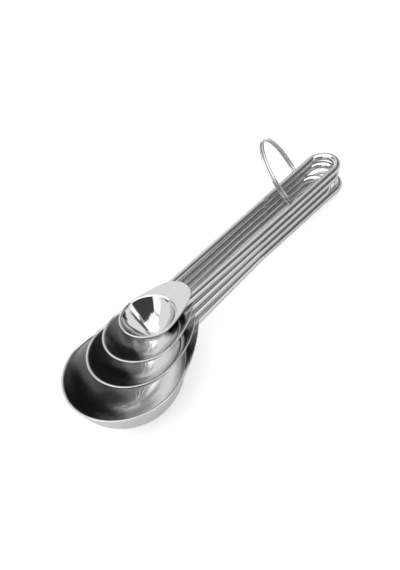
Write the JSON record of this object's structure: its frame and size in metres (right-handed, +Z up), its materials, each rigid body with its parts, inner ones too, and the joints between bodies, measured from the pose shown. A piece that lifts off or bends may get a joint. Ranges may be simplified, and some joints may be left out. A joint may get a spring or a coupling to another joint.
{
  "type": "measuring spoon set",
  "caption": "Nested round measuring spoons of polished stainless steel with looped wire handles, kept together on a split ring.",
  "frame": {"origin": "on the table under the middle of the set's box, as it lies at rest on the tablespoon's bowl, the end of the tablespoon's loop and the split ring", "axes": "+X from the bowls along the handles to the loops, +Z up, away from the table; the split ring lies on the +Y side of the handles"},
  "size_m": [0.1352, 0.043, 0.0299],
  "materials": {
    "satin_sheet": "stainless steel sheet, polished in the bowl and satin on the tab",
    "polished_sheet": "mirror-polished stainless steel sheet, not plated",
    "polished_wire": "polished stainless steel wire, not plated",
    "ring_wire": "bright spring steel wire"
  },
  "bodies": {
    "tablespoon": {"tablespoon_bowl": "polished_sheet", "tablespoon_handle": "polished_wire"},
    "teaspoon": {"teaspoon_bowl": "polished_sheet", "teaspoon_handle": "polished_wire"},
    "half_teaspoon": {"half_teaspoon_bowl": "polished_sheet", "half_teaspoon_handle": "polished_wire"},
    "quarter_teaspoon": {"quarter_teaspoon_bowl": "satin_sheet", "quarter_teaspoon_handle": "polished_wire"},
    "ring": {"split_ring": "ring_wire"}
  },
  "joints": [
    {"name": "teaspoon_lift", "type": "hinge", "parent": "tablespoon", "child": "teaspoon", "pos_m": [0.05844, 0, 0.00386], "axis": [0, 1, 0], "range_deg": [0, 5]},
    {"name": "half_teaspoon_lift", "type": "hinge", "parent": "teaspoon", "child": "half_teaspoon", "pos_m": [0.06396, 0, 0.00579], "axis": [0, 1, 0], "range_deg": [0, 5]},
    {"name": "quarter_teaspoon_lift", "type": "hinge", "parent": "half_teaspoon", "child": "quarter_teaspoon", "pos_m": [0.06593, 0, 0.00834], "axis": [0, 1, 0], "range_deg": [0, 5]},
    {"name": "ring_turn", "type": "hinge", "parent": "tablespoon", "child": "ring", "pos_m": [0.04973, 0.0087, 0.01375], "axis": [0.7026, -0.6393, 0.3123], "continuous": true}
  ]
}
